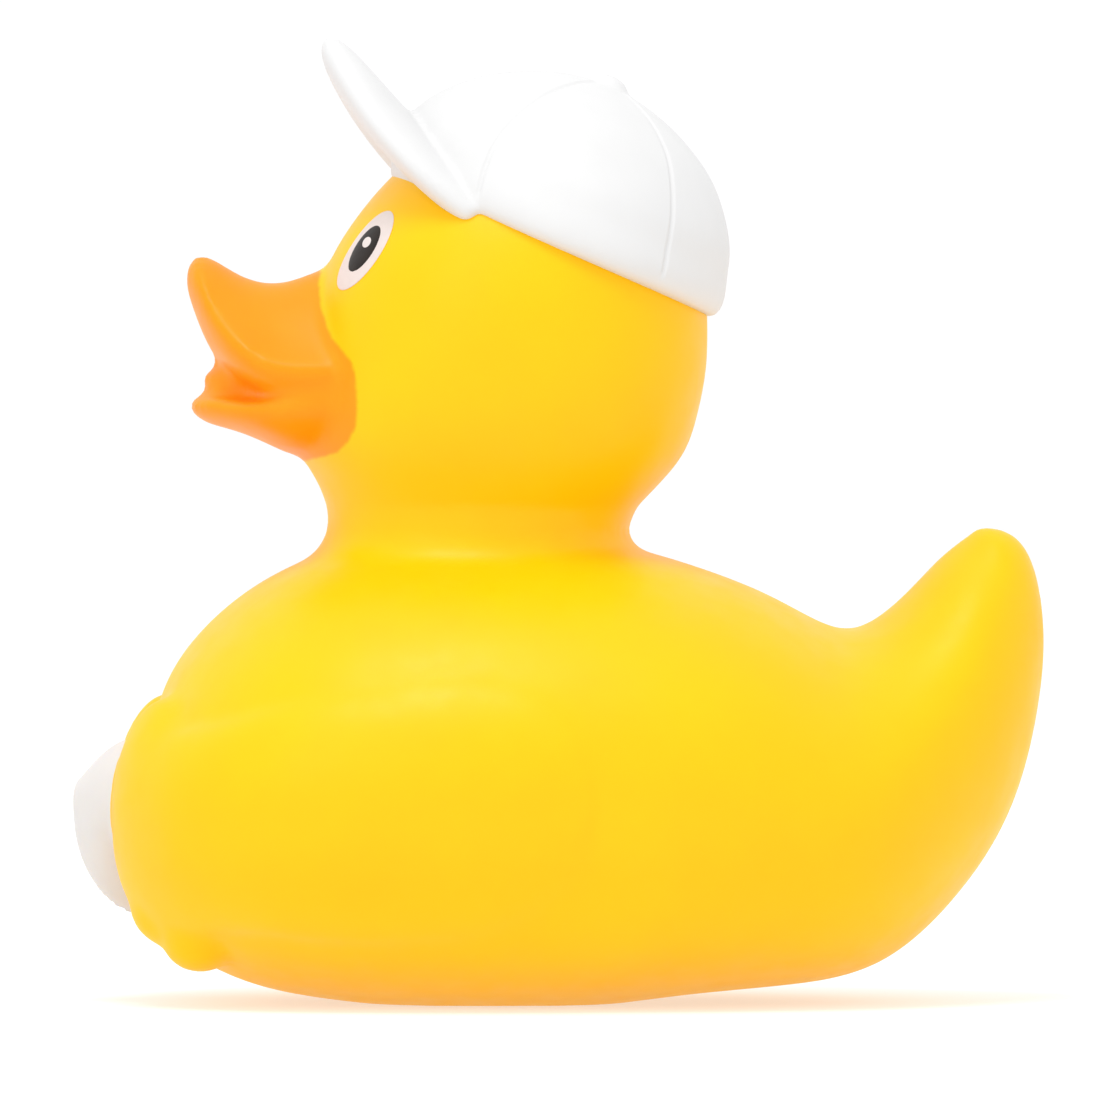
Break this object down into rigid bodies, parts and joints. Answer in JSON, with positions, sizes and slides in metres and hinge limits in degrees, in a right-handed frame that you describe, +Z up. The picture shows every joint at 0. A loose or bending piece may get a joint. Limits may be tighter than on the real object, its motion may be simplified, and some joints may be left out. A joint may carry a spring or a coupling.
{
  "type": "rubber duck",
  "caption": "Rubber duck with a tipped-up cap, folded wings that hold a heart at the chest, and a squeaker in its flat base.",
  "frame": {"origin": "on the ground plane under the middle of the bounding box", "axes": "+Z up, -Y towards the beak, +X towards the duck's left side; the duck is mirrored about x = 0"},
  "size_m": [0.0626, 0.0907, 0.09],
  "materials": {
    "vinyl": "soft yellow vinyl with a satin skin; beak sprayed orange, cap and heart sprayed white, eyes printed",
    "squeaker": "plain moulded plastic"
  },
  "bodies": {
    "root": {"duck": "vinyl", "squeaker": "squeaker"}
  },
  "joints": []
}
